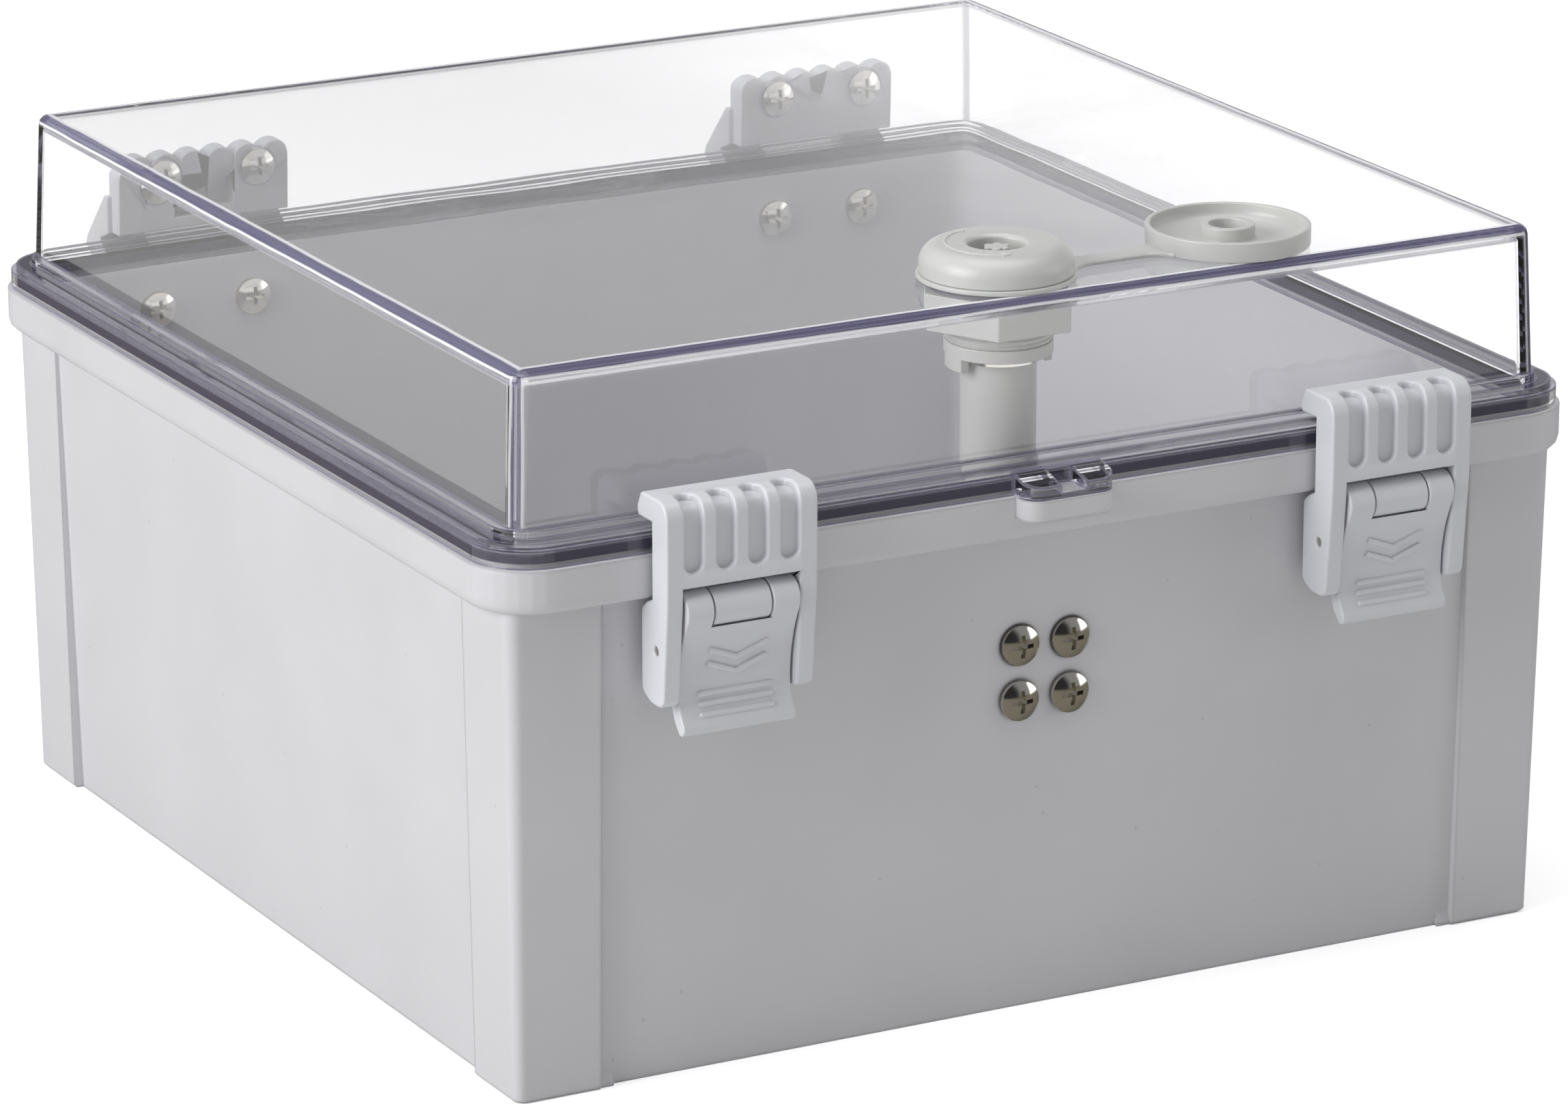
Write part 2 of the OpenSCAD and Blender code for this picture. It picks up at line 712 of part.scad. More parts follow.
module lock_body() color(PORT_GREY) at_lock() difference() {
    union() {
        translate([0, 0, disc_z]) rotate_extrude() {
            square([disc_r, disc_top - disc_fillet - disc_z]);
            square([disc_r - disc_fillet, disc_top - disc_z]);
            translate([disc_r - disc_fillet, disc_top - disc_fillet - disc_z]) intersection() {
                circle(disc_fillet);
                square(disc_fillet);
            }
        }
        translate([0, 0, shank_end_z]) cylinder(r = shank_r, h = disc_z - shank_end_z + 0.5);
    }
    translate([0, 0, shank_end_z - CUT]) cylinder(r = tube_r + lock_run, h = shoulder_z - shank_end_z + CUT);
    translate([0, 0, shoulder_z - CUT]) cylinder(r = recess_r, h = disc_top);
    translate([0, 0, disc_top]) rotate_extrude() polygon([
        [0, -recess_chamfer],
        [recess_r, -recess_chamfer],
        [recess_r + 2 * recess_chamfer, recess_chamfer],
        [0, recess_chamfer]
    ]);
}

module lock_seal() color(SEAL_BLACK) at_lock() translate([0, 0, inner_top_z - seal_t]) difference() {
    cylinder(r = seal_r, h = seal_t);
    translate([0, 0, -CUT]) cylinder(r = shank_r + pin_run, h = seal_t + 2 * CUT);
}

module lock_nut() color(PORT_GREY) at_lock() translate([0, 0, inner_top_z - seal_t - nut_h]) difference() {
    cylinder(r = nut_corner_r, h = nut_h, $fn = 6);
    translate([0, 0, -CUT]) cylinder(r = shank_r + pin_run, h = nut_h + 2 * CUT);
}

module lock_collar() color(PORT_GREY) at_lock() translate([0, 0, shank_end_z - collar_h]) difference() {
    union() {
        cylinder(r = collar_r, h = collar_h);
        intersection() {
            translate([0, 0, -collar_lug_h]) difference() {
                cylinder(r = collar_r, h = collar_lug_h + 1);
                translate([0, 0, -CUT]) cylinder(r = collar_r - 2.2, h = collar_lug_h + CUT);
            }
            translate([-collar_r, -4, -collar_lug_h]) cube([2 * collar_r, 8, 2 * collar_lug_h]);
        }
    }
    translate([0, 0, -CUT]) cylinder(r = tube_r + lock_run, h = collar_h + 2 * CUT);
}

module lock_core() color(PORT_GREY) at_lock() difference() {
    union() {
        translate([0, 0, tube_end_z]) cylinder(r = tube_r, h = shoulder_z - 0.1 - tube_end_z);
        translate([0, 0, shoulder_z - 1]) linear_extrude(post_top_z - shoulder_z + 1) {
            circle(post_r);
            for (i = [0:post_lobes - 1])
                rotate(i * 360 / post_lobes) translate([post_r, 0]) circle(post_lobe_r);
        }
    }
    translate([0, 0, shank_end_z - collar_h - 1.4]) difference() {
        cylinder(r = tube_r + CUT, h = 1.1);
        translate([0, 0, -CUT]) cylinder(r = tube_r - 0.7, h = 1.1 + 2 * CUT);
    }
    translate([0, 0, tube_end_z - CUT]) cylinder(r = cam_screw_r + pin_run, h = 12 + CUT);
}

module core_ring() color(STEEL) at_lock() translate([0, 0, shank_end_z - collar_h - 1.35]) difference() {
    cylinder(r = tube_r + 1.3, h = 1);
    translate([0, 0, -CUT]) cylinder(r = tube_r - 0.6, h = 1 + 2 * CUT);
    translate([-2.5, 0, -CUT]) cube([5, tube_r + 3, 1 + 2 * CUT]);
}

module lock_cam() color(STEEL) at_lock() translate([0, 0, tube_end_z - cam_t]) difference() {
    linear_extrude(cam_t) hull() {
        circle(tube_r - 0.5, $fn = HULL_FN);
        translate([cam_reach - cam_tip_r, 0]) circle(cam_tip_r, $fn = HULL_FN);
    }
    translate([0, 0, -CUT]) cylinder(r = cam_screw_r + pin_run, h = cam_t + 2 * CUT);
}

module cam_screw() color(STEEL) at_lock() translate([0, 0, tube_end_z - cam_t])
    pan_screw(cam_screw_r, cam_t + 11, small_head_r, small_head_h);

// ---- strike ----

module strike_bracket() color(STEEL) difference() {
    union() {
        translate([-strike_w / 2, -strike_back_y, strike_low_z])
            cube([strike_w, strike_t, shelf_z + shelf_t - strike_low_z]);
        translate([-shelf_w / 2, -strike_back_y, shelf_z]) cube([shelf_w, strike_t + shelf_reach, shelf_t]);
    }
    at_strike_screws(0) cylinder_y(m5_r + hole_gap, -strike_back_y - CUT, -strike_face_y + CUT);
}

module strike_screws() color(STEEL) at_strike_screws(-strike_seat_y) rotate([-90, 0, 0])
    pan_screw(m5_r, strike_seat_y - strike_face_y + 5.5, m5_head_r, m5_head_h);

module strike_nuts() color(STEEL) at_strike_screws(-strike_face_y) rotate([-90, 0, 0]) difference() {
    cylinder(r = 4.6, h = 4, $fn = 6);
    translate([0, 0, -CUT]) cylinder(r = m5_r + pin_hold, h = 6);
}

// ---- weather cap ----

// Half of the strap on the ring of radius ring_r round the origin: it narrows outward, up to x = reach
module strap_half(ring_r, reach) {
    overlap = 0.05;
    flare_y = strap_w / 2 + strap_flare_r - overlap;
    flare_x = sqrt(pow(ring_r + strap_flare_r - overlap, 2) - pow(flare_y, 2));
    touch = (ring_r - overlap) / (ring_r + strap_flare_r - overlap);
    translate([ring_r - 2, -strap_w / 2]) square([reach - ring_r + 2, strap_w]);
    difference() {
        translate([touch * flare_x - 1, -touch * flare_y])
            square([(1 - touch) * flare_x + 1, 2 * touch * flare_y]);
        for (side = [-1, 1]) translate([flare_x, side * flare_y]) circle(strap_flare_r);
    }
}

module cap_tether() color(PORT_GREY) at_lock() translate([0, 0, total_h])
    linear_extrude(tether_t) difference() {
        union() {
            circle(tether_ring_r);
            strap_half(tether_ring_r, fold_x - 0.3);
        }
        circle(shank_r + pin_run);
    }

module sealing_cap() color(PORT_GREY) at_lock() {
    translate([cap_x, 0, total_h]) rotate(180) linear_extrude(tether_t) difference() {
        strap_half(cap_r, cap_x - fold_x - 0.3);
        circle(cap_r - 0.5);
    }
    translate([cap_x, 0, total_h]) {
        difference() {
            cylinder(r = cap_r, h = cap_h);
            translate([0, 0, cap_floor_t]) rotate_extrude() {
                square([cap_inner_r - cap_corner_r, cap_h]);
                translate([0, cap_corner_r]) square([cap_inner_r, cap_h]);
                translate([cap_inner_r - cap_corner_r, cap_corner_r]) intersection() {
                    circle(cap_corner_r);
                    translate([0, -cap_corner_r]) square(cap_corner_r);
                }
            }
        }
        translate([0, 0, cap_floor_t - 0.5]) difference() {
            cylinder(r = cap_boss_r, h = cap_boss_h + 0.5);
            translate([0, 0, 0.5]) cylinder(r = cap_boss_hole_r, h = cap_boss_h + CUT);
        }
    }
}

base_shell();
rim_gasket();
floor_inserts();
translate([-hinge_x, 0, 0]) hinge_leaf_lower();  // hinge_leaf_lower_left
translate([hinge_x, 0, 0]) hinge_leaf_lower();  // hinge_leaf_lower_right
translate([-hinge_x, 0, 0]) hinge_leaf_upper();  // hinge_leaf_upper_left
translate([hinge_x, 0, 0]) hinge_leaf_upper();  // hinge_leaf_upper_right
translate([-hinge_x, 0, 0]) hinge_pin();  // hinge_pin_left
translate([hinge_x, 0, 0]) hinge_pin();  // hinge_pin_right
leaf_screws(lower_seat_y, panel_high_half, lower_screw_z);  // hinge_screws_lower
leaf_screws(upper_seat_y, dome_y(upper_screw_z), upper_screw_z);  // hinge_screws_upper
translate([-latch_x, 0, 0]) latch_bracket();  // latch_bracket_left
translate([latch_x, 0, 0]) latch_bracket();  // latch_bracket_right
latch_bracket_screws();
translate([-latch_x, 0, 0]) latch_pivot_pin();  // latch_pivot_pin_left
translate([latch_x, 0, 0]) latch_pivot_pin();  // latch_pivot_pin_right
translate([-latch_x, 0, 0]) latch_lever();  // latch_lever_left
translate([latch_x, 0, 0]) latch_lever();  // latch_lever_right
translate([-latch_x, 0, 0]) latch_hook();  // latch_hook_left
translate([latch_x, 0, 0]) latch_hook();  // latch_hook_right
translate([-latch_x, 0, 0]) hook_pin();  // hook_pin_left
translate([latch_x, 0, 0]) hook_pin();  // hook_pin_right
lid_cover();
lock_body();
lock_seal();
lock_nut();
lock_collar();
lock_core();
core_ring();
lock_cam();
cam_screw();
strike_bracket();
strike_screws();
strike_nuts();
cap_tether();
sealing_cap();
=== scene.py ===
# Hinged polycarbonate wall box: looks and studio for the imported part
import json
import math
import bmesh
import bpy
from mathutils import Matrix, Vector


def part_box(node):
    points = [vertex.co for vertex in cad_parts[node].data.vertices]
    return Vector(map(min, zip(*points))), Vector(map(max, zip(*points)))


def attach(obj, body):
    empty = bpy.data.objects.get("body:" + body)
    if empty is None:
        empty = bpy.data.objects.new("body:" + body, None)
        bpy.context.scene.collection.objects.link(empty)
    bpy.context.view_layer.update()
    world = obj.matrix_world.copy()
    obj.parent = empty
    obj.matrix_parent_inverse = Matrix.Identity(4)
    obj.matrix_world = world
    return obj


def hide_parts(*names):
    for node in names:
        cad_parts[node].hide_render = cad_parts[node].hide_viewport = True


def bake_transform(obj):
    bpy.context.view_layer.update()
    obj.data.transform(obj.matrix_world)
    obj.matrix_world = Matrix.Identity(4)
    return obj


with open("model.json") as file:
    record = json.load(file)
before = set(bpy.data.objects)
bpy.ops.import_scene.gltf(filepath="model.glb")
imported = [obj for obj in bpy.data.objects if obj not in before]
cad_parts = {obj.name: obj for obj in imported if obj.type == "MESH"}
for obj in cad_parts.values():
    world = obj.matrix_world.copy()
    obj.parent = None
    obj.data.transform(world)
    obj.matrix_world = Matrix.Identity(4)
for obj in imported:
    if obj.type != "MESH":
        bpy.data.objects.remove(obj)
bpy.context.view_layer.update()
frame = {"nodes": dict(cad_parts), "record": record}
nodes = frame["nodes"]
behaviour = frame["record"]["behaviour"]
bodyOf = {node: body for body, members in behaviour["bodies"].items() for node in members}
slotOf = {part["node"]: part["material_slot"] for part in frame["record"]["subparts"]}
mm = 0.001
print("frame loaded:", len(nodes), "nodes")

# ---- camera ----

cameraView = {
    "place": (-0.8979, -1.6752, 0.6675),  # metres, in the part's own frame
    "turn": 28.35,     # degrees to the right of straight at the latches
    "down": 17.27,     # degrees below level
    "lens": 177.9,     # mm
    "sensor": 36,      # mm wide
    "farEnd": 20,      # metres
}


def addCamera(view):
    data = bpy.data.cameras.new("camera")
    data.lens = view["lens"]
    data.sensor_width = view["sensor"]
    data.clip_end = view["farEnd"]
    camera = bpy.data.objects.new("camera", data)
    turn, down = math.radians(view["turn"]), math.radians(view["down"])
    look = Vector((math.sin(turn) * math.cos(down), math.cos(turn) * math.cos(down), -math.sin(down)))
    camera.location = view["place"]
    camera.rotation_euler = look.to_track_quat("-Z", "Y").to_euler()
    bpy.context.scene.collection.objects.link(camera)
    bpy.context.scene.camera = camera


addCamera(cameraView)

# ---- materials ----


def linear(hexText):
    def channel(pair):
        value = int(pair, 16) / 255
        return value / 12.92 if value <= 0.04045 else ((value + 0.055) / 1.055) ** 2.4
    return tuple(channel(hexText[i:i + 2]) for i in (1, 3, 5)) + (1.0,)


# Inputs are plain values, sockets, or nodes, which are linked from their first output
def addNode(tree, kind, inputs=None, **settings):
    node = tree.nodes.new(kind)
    for name, value in settings.items():
        setattr(node, name, value)
    for name, value in (inputs or {}).items():
        if isinstance(value, bpy.types.Node):
            value = value.outputs[0]
        if isinstance(value, bpy.types.NodeSocket):
            tree.links.new(value, node.inputs[name])
        else:
            node.inputs[name].default_value = value
    return node


def newMaterial(name, **shaderInputs):
    material = bpy.data.materials.new(name)
    material.use_nodes = True
    tree = material.node_tree
    tree.nodes.clear()
    shader = addNode(tree, "ShaderNodeBsdfPrincipled", shaderInputs)
    output = addNode(tree, "ShaderNodeOutputMaterial", {"Surface": shader})
    place = addNode(tree, "ShaderNodeTexCoord").outputs["Object"]
    return material, tree, shader, output, place


# Injection-moulded polycarbonate: a satin gloss from the tool's grain, soft flow marks and a little dust
moulding = {
    "ior": 1.58,
    "flowMark": 45,              # mm across
    "flowSpread": (0.3, 0.7),    # the share of the noise's range that the marks use
    "flowShade": (0.975, 1.02),  # darkest and lightest
    "flowRough": 0.05,           # how far a mark shifts the roughness
    "grainStrength": 0.35,
    "dustApart": 11,             # mm between specks, which are under 1 mm across
    "dustSize": (0.02, 0.05),    # a speck's solid middle and its rim, in shares of that distance
    "dustColour": "#6f6d6a",
    "edgeSamples": 6,
}


# Grain, its depth and edge are in mm; the grain is drawn coarser than the real one, so that it shows
def mouldedPlastic(name, colour, roughness, grain, grainDepth, dust=0.0, edge=0.0):
    material, tree, shader, output, place = newMaterial(name, IOR=moulding["ior"])
    flow = addNode(tree, "ShaderNodeTexNoise", {
        "Vector": place, "Scale": 1 / (moulding["flowMark"] * mm), "Detail": 3.0})
    toneAndPaintedShade = addNode(tree, "ShaderNodeMapRange", {
        "Value": flow, "From Min": moulding["flowSpread"][0], "From Max": moulding["flowSpread"][1],
        "To Min": moulding["flowShade"][0], "To Max": moulding["flowShade"][1]})
    lastColour = addNode(tree, "ShaderNodeMix", {"Factor": 1.0, 6: linear(colour), 7: toneAndPaintedShade},
                         data_type="RGBA", blend_type="MULTIPLY").outputs[2]
    if dust:
        cells = addNode(tree, "ShaderNodeTexVoronoi", {
            "Vector": place, "Scale": 1 / (moulding["dustApart"] * mm)})
        speck = addNode(tree, "ShaderNodeMapRange", {
            "Value": cells, "From Min": moulding["dustSize"][0], "From Max": moulding["dustSize"][1],
            "To Min": dust, "To Max": 0.0})
        lastColour = addNode(tree, "ShaderNodeMix", {
            "Factor": speck, 6: lastColour, 7: linear(moulding["dustColour"])}, data_type="RGBA").outputs[2]
    tree.links.new(lastColour, shader.inputs["Base Color"])
    rough = addNode(tree, "ShaderNodeMapRange", {
        "Value": flow, "To Min": roughness - moulding["flowRough"],
        "To Max": roughness + moulding["flowRough"]})
    tree.links.new(rough.outputs["Result"], shader.inputs["Roughness"])
    pits = addNode(tree, "ShaderNodeTexNoise", {"Vector": place, "Scale": 1 / (grain * mm), "Detail": 2.0})
    bump = addNode(tree, "ShaderNodeBump", {
        "Height": pits, "Strength": moulding["grainStrength"], "Distance": grainDepth * mm})
    if edge:
        # the tool's small edge radius, where the mesh has a hard edge
        softEdge = addNode(tree, "ShaderNodeBevel", {"Radius": edge * mm}, samples=moulding["edgeSamples"])
        tree.links.new(softEdge.outputs["Normal"], bump.inputs["Normal"])
    tree.links.new(bump.outputs["Normal"], shader.inputs["Normal"])
    return material


# Clear moulded polycarbonate: polished, with a painted purple-grey refraction shade and a painted highlight
# line along its edges
clearCover = {                  # lengths in mm
    "ior": 1.585,
    "depthColour": "#a9a6c6",   # what the light takes on inside the sheet
    "depthDensity": 9.0,
    "foot": 141.4,              # half width of the dome at its foot
    "footUp": 141.5,            # height of the foot
    "draft": 1.3,
    "top": 179.0,
    "topBand": 1.5,             # how far down the painted shade reaches from the top
    "topSpread": 1.7,           # how much further it reaches over the top than down the side
    "cornerBand": 2.3,
    "bandSoft": 0.15,           # half the soft border of a painted shade band
    "line": 0.75,               # width of the painted highlight line beside the painted shade
    "highlightSoft": (0.2, 0.1),     # its soft border, inside and outside
    "uneven": 0.35,             # a moulding's edges waver by this much
    "unevenOver": 25,           # over this length
    "rimRadius": 1.2,           # all other edges are found by rounding them this much
    "rimPaintedShade": (0.93, 0.975),   # cosines of the lean between which their painted shade and painted highlight fade
    "rimHighlight": (0.975, 0.997),
    "rimHold": 0.8,
    "rimSamples": 6,
    "hold": 0.82,               # how far the painted shade and highlight cover the clear sheet
    "cornerClear": 0.27,        # how much less they do at the upright corners
    # the painted highlight line's colour, then the painted purple-grey shade's colour
    "highlightPaintColour": "#fbfbff",
    "shadePaintColour": "#646080",
    "edgeRough": 0.2,
    "passColour": "#fdfdfd",    # of light that passes straight through
    "ripple": 60,               # the moulding's long ripples
    "rippleDepth": 0.4,
    "rippleStrength": 0.2,
}


# How far a point is from the dome's top edge and from its upright edges, in mm, and if it is on the dome
def domeDistances(tree, place, size):
    uneven = addNode(tree, "ShaderNodeTexNoise", {
        "Vector": place, "Scale": 1 / (size["unevenOver"] * mm), "Detail": 2.0})
    uneven = addNode(tree, "ShaderNodeMapRange", {
        "Value": uneven, "To Min": -size["uneven"], "To Max": size["uneven"]})
    spot = addNode(tree, "ShaderNodeSeparateXYZ", {"Vector": place}).outputs
    x = addNode(tree, "ShaderNodeMath", {0: spot["X"]}, operation="ABSOLUTE")
    x = addNode(tree, "ShaderNodeMath", {0: x, 1: 1 / mm}, operation="MULTIPLY")
    y = addNode(tree, "ShaderNodeMath", {0: spot["Y"]}, operation="ABSOLUTE")
    y = addNode(tree, "ShaderNodeMath", {0: y, 1: 1 / mm}, operation="MULTIPLY")
    z = addNode(tree, "ShaderNodeMath", {0: spot["Z"], 1: 1 / mm}, operation="MULTIPLY")
    slope = size["draft"] / (size["top"] - size["footUp"])
    half = addNode(tree, "ShaderNodeMath", {0: z, 1: slope}, operation="MULTIPLY")
    half = addNode(tree, "ShaderNodeMath", {0: size["foot"] + slope * size["footUp"], 1: half},
                   operation="SUBTRACT")
    fromX = addNode(tree, "ShaderNodeMath", {0: half, 1: x}, operation="SUBTRACT")
    fromY = addNode(tree, "ShaderNodeMath", {0: half, 1: y}, operation="SUBTRACT")
    overTop = addNode(tree, "ShaderNodeMath", {0: fromX, 1: fromY}, operation="MINIMUM")
    overTop = addNode(tree, "ShaderNodeMath", {0: overTop, 1: size["topSpread"]}, operation="DIVIDE")
    downSide = addNode(tree, "ShaderNodeMath", {0: size["top"], 1: z}, operation="SUBTRACT")
    topEdge = addNode(tree, "ShaderNodeMath", {0: overTop, 1: downSide}, operation="MAXIMUM")
    topEdge = addNode(tree, "ShaderNodeMath", {0: topEdge, 1: uneven}, operation="ADD")
    upright = addNode(tree, "ShaderNodeMath", {0: fromX, 1: fromY}, operation="MAXIMUM")
    upright = addNode(tree, "ShaderNodeMath", {0: upright, 1: uneven}, operation="ADD")
    onDome = addNode(tree, "ShaderNodeMath", {0: z, 1: size["footUp"]}, operation="GREATER_THAN")
    return topEdge, upright, onDome


# The painted shade from an edge to width, and the painted shade together with the painted highlight line
# beside it
def paintedEdgeBands(tree, distance, width, size):
    toneAndPaintedShade = addNode(tree, "ShaderNodeMapRange", {
        "Value": distance, "From Min": width - size["bandSoft"], "From Max": width + size["bandSoft"],
        "To Min": 1.0, "To Max": 0.0})
    inner, outer = size["highlightSoft"]
    reach = addNode(tree, "ShaderNodeMapRange", {
        "Value": distance, "From Min": width + size["line"] - inner,
        "From Max": width + size["line"] + outer, "To Min": 1.0, "To Max": 0.0})
    return toneAndPaintedShade, reach


def clearPlastic(size):
    material, tree, shader, output, place = newMaterial("clearPolycarbonate", **{
        "Base Color": linear("#ffffff"), "IOR": size["ior"], "Transmission Weight": 1.0, "Roughness": 0.0})
    absorb = addNode(tree, "ShaderNodeVolumeAbsorption", {
        "Color": linear(size["depthColour"]), "Density": size["depthDensity"]})
    tree.links.new(absorb.outputs["Volume"], output.inputs["Volume"])
    topEdge, upright, onDome = domeDistances(tree, place, size)
    # painted shade bands and highlight lines along the dome's top edge and upright corners
    topPaintedShade, topShadeAndHighlight = paintedEdgeBands(tree, topEdge, size["topBand"], size)
    sidePaintedShade, sideShadeAndHighlight = paintedEdgeBands(tree, upright, size["cornerBand"], size)
    # painted shade and highlight on every other edge, found from how far its softened normal leans
    softEdge = addNode(tree, "ShaderNodeBevel", {"Radius": size["rimRadius"] * mm},
                       samples=size["rimSamples"])
    flat = addNode(tree, "ShaderNodeNewGeometry").outputs["Normal"]
    lean = addNode(tree, "ShaderNodeVectorMath", {0: softEdge, 1: flat},
                   operation="DOT_PRODUCT").outputs["Value"]
    rimPaintedShade = addNode(tree, "ShaderNodeMapRange", {
        "Value": lean, "From Min": size["rimPaintedShade"][0], "From Max": size["rimPaintedShade"][1],
        "To Min": 1.0, "To Max": 0.0})
    rimShadeAndHighlight = addNode(tree, "ShaderNodeMapRange", {
        "Value": lean, "From Min": size["rimHighlight"][0], "From Max": size["rimHighlight"][1],
        "To Min": size["rimHold"], "To Max": 0.0})
    toneAndPaintedShade = addNode(tree, "ShaderNodeMath", {0: topPaintedShade, 1: sidePaintedShade}, operation="MAXIMUM")
    toneAndPaintedShade = addNode(tree, "ShaderNodeMath", {0: toneAndPaintedShade, 1: onDome}, operation="MULTIPLY")
    toneAndPaintedShade = addNode(tree, "ShaderNodeMath", {0: toneAndPaintedShade, 1: rimPaintedShade}, operation="MAXIMUM")
    reach = addNode(tree, "ShaderNodeMath", {0: topShadeAndHighlight, 1: sideShadeAndHighlight}, operation="MAXIMUM")
    reach = addNode(tree, "ShaderNodeMath", {0: reach, 1: onDome}, operation="MULTIPLY")
    reach = addNode(tree, "ShaderNodeMath", {0: reach, 1: rimShadeAndHighlight}, operation="MAXIMUM")
    # painted purple-grey shade and painted highlight lines, in a plastic shader laid over the clear sheet
    paintedEdgeColour = addNode(tree, "ShaderNodeMix", {
        "Factor": toneAndPaintedShade, 6: linear(size["highlightPaintColour"]), 7: linear(size["shadePaintColour"])}, data_type="RGBA")
    paintedEdgeShader = addNode(tree, "ShaderNodeBsdfPrincipled", {
        "Base Color": paintedEdgeColour.outputs[2], "Roughness": size["edgeRough"], "IOR": size["ior"]})
    # the upright corners get less painted shade and highlight than the top edge
    hold = addNode(tree, "ShaderNodeMath", {0: sideShadeAndHighlight, 1: size["cornerClear"]}, operation="MULTIPLY")
    hold = addNode(tree, "ShaderNodeMath", {0: size["hold"], 1: hold}, operation="SUBTRACT")
    hold = addNode(tree, "ShaderNodeMath", {0: reach, 1: hold}, operation="MULTIPLY")
    seen = addNode(tree, "ShaderNodeMixShader", {0: hold, 1: shader, 2: paintedEdgeShader})
    # shadows and soft light pass straight through, so the inside of the box is lit
    rays = addNode(tree, "ShaderNodeLightPath").outputs
    through = addNode(tree, "ShaderNodeMath", {0: rays["Is Shadow Ray"], 1: rays["Is Diffuse Ray"]},
                      operation="MAXIMUM")
    thin = addNode(tree, "ShaderNodeBsdfTransparent", {"Color": linear(size["passColour"])})
    mixed = addNode(tree, "ShaderNodeMixShader", {0: through, 1: seen, 2: thin})
    tree.links.new(mixed.outputs["Shader"], output.inputs["Surface"])
    ripple = addNode(tree, "ShaderNodeTexNoise", {
        "Vector": place, "Scale": 1 / (size["ripple"] * mm), "Detail": 1.0})
    bump = addNode(tree, "ShaderNodeBump", {
        "Height": ripple, "Strength": size["rippleStrength"], "Distance": size["rippleDepth"] * mm})
    tree.links.new(bump.outputs["Normal"], shader.inputs["Normal"])
    return material


# Extruded sealing rubber: matt dark grey, with the fine skin that the die leaves
sealSkin = {
    "colour": "#46435a",
    "roughness": 0.6,
    "ior": 1.5,
    "grain": 0.8,        # mm
    "grainDepth": 0.05,
    "grainStrength": 0.4,
}


def sealRubber(skin):
    material, tree, shader, output, place = newMaterial("sealRubber", **{
        "Base Color": linear(skin["colour"]), "Roughness": skin["roughness"], "IOR": skin["ior"]})
    grain = addNode(tree, "ShaderNodeTexNoise", {
        "Vector": place, "Scale": 1 / (skin["grain"] * mm), "Detail": 2.0})
    bump = addNode(tree, "ShaderNodeBump", {
        "Height": grain, "Strength": skin["grainStrength"], "Distance": skin["grainDepth"] * mm})
    tree.links.new(bump.outputs["Normal"], shader.inputs["Normal"])
    return material


# Nickel-plated steel and turned brass: bright and warm, with faint tumbling marks that vary the gloss
tumbling = {
    "marks": 2,          # mm across
    "smoothest": 0.6,    # shares of the metal's roughness
    "roughest": 1.5,
}


def plainMetal(name, colour, roughness):
    material, tree, shader, output, place = newMaterial(name, **{
        "Base Color": linear(colour), "Metallic": 1.0})
    marks = addNode(tree, "ShaderNodeTexNoise", {
        "Vector": place, "Scale": 1 / (tumbling["marks"] * mm), "Detail": 4.0})
    rough = addNode(tree, "ShaderNodeMapRange", {
        "Value": marks, "To Min": roughness * tumbling["smoothest"],
        "To Max": roughness * tumbling["roughest"]})
    tree.links.new(rough.outputs["Result"], shader.inputs["Roughness"])
    return material


finishes = {
    "base_grey": mouldedPlastic("mouldedPolycarbonate", "#cbcbcf", 0.42, 0.5, 0.012, dust=0.25, edge=1.5),
    "latch_grey": mouldedPlastic("latchPolycarbonate", "#d2d3d8", 0.34, 0.6, 0.008),
    "port_grey": mouldedPlastic("portPolycarbonate", "#c8c9c6", 0.36, 0.6, 0.008),
    "clear_cover": clearPlastic(clearCover),
    "seal_black": sealRubber(sealSkin),
    "bright_steel": plainMetal("nickelPlatedSteel", "#d2cfc8", 0.12),
    "brass": plainMetal("turnedBrass", "#cfa75a", 0.3),
}

for name, node in nodes.items():
    node.data.materials.clear()
    node.data.materials.append(finishes[slotOf[name]])
print("materials made:", len(finishes))

# ---- moulded edges ----

edgeRounding = {  # node: radius of its edges, in mm
    "latch_hook_left": 0.7,
    "latch_hook_right": 0.7,
    "latch_lever_left": 0.5,
    "latch_lever_right": 0.5,
    "latch_bracket_left": 0.3,
    "latch_bracket_right": 0.3,
    "hinge_leaf_upper_left": 0.5,
    "hinge_leaf_upper_right": 0.5,
    "hinge_leaf_lower_left": 0.5,
    "hinge_leaf_lower_right": 0.5,
    "lock_body": 0.4,
    "lock_nut": 0.4,
    "lock_collar": 0.3,
    "lock_core": 0.3,
}
roundingWay = {
    "weld": 0.002,       # mm between points that become one
    "flat": 0.5,         # degrees between faces that become one
    "sharp": 32,         # degrees above which an edge is rounded
    "crease": 0.12,      # share of the radius that an inner corner gets
    "segments": 2,
}


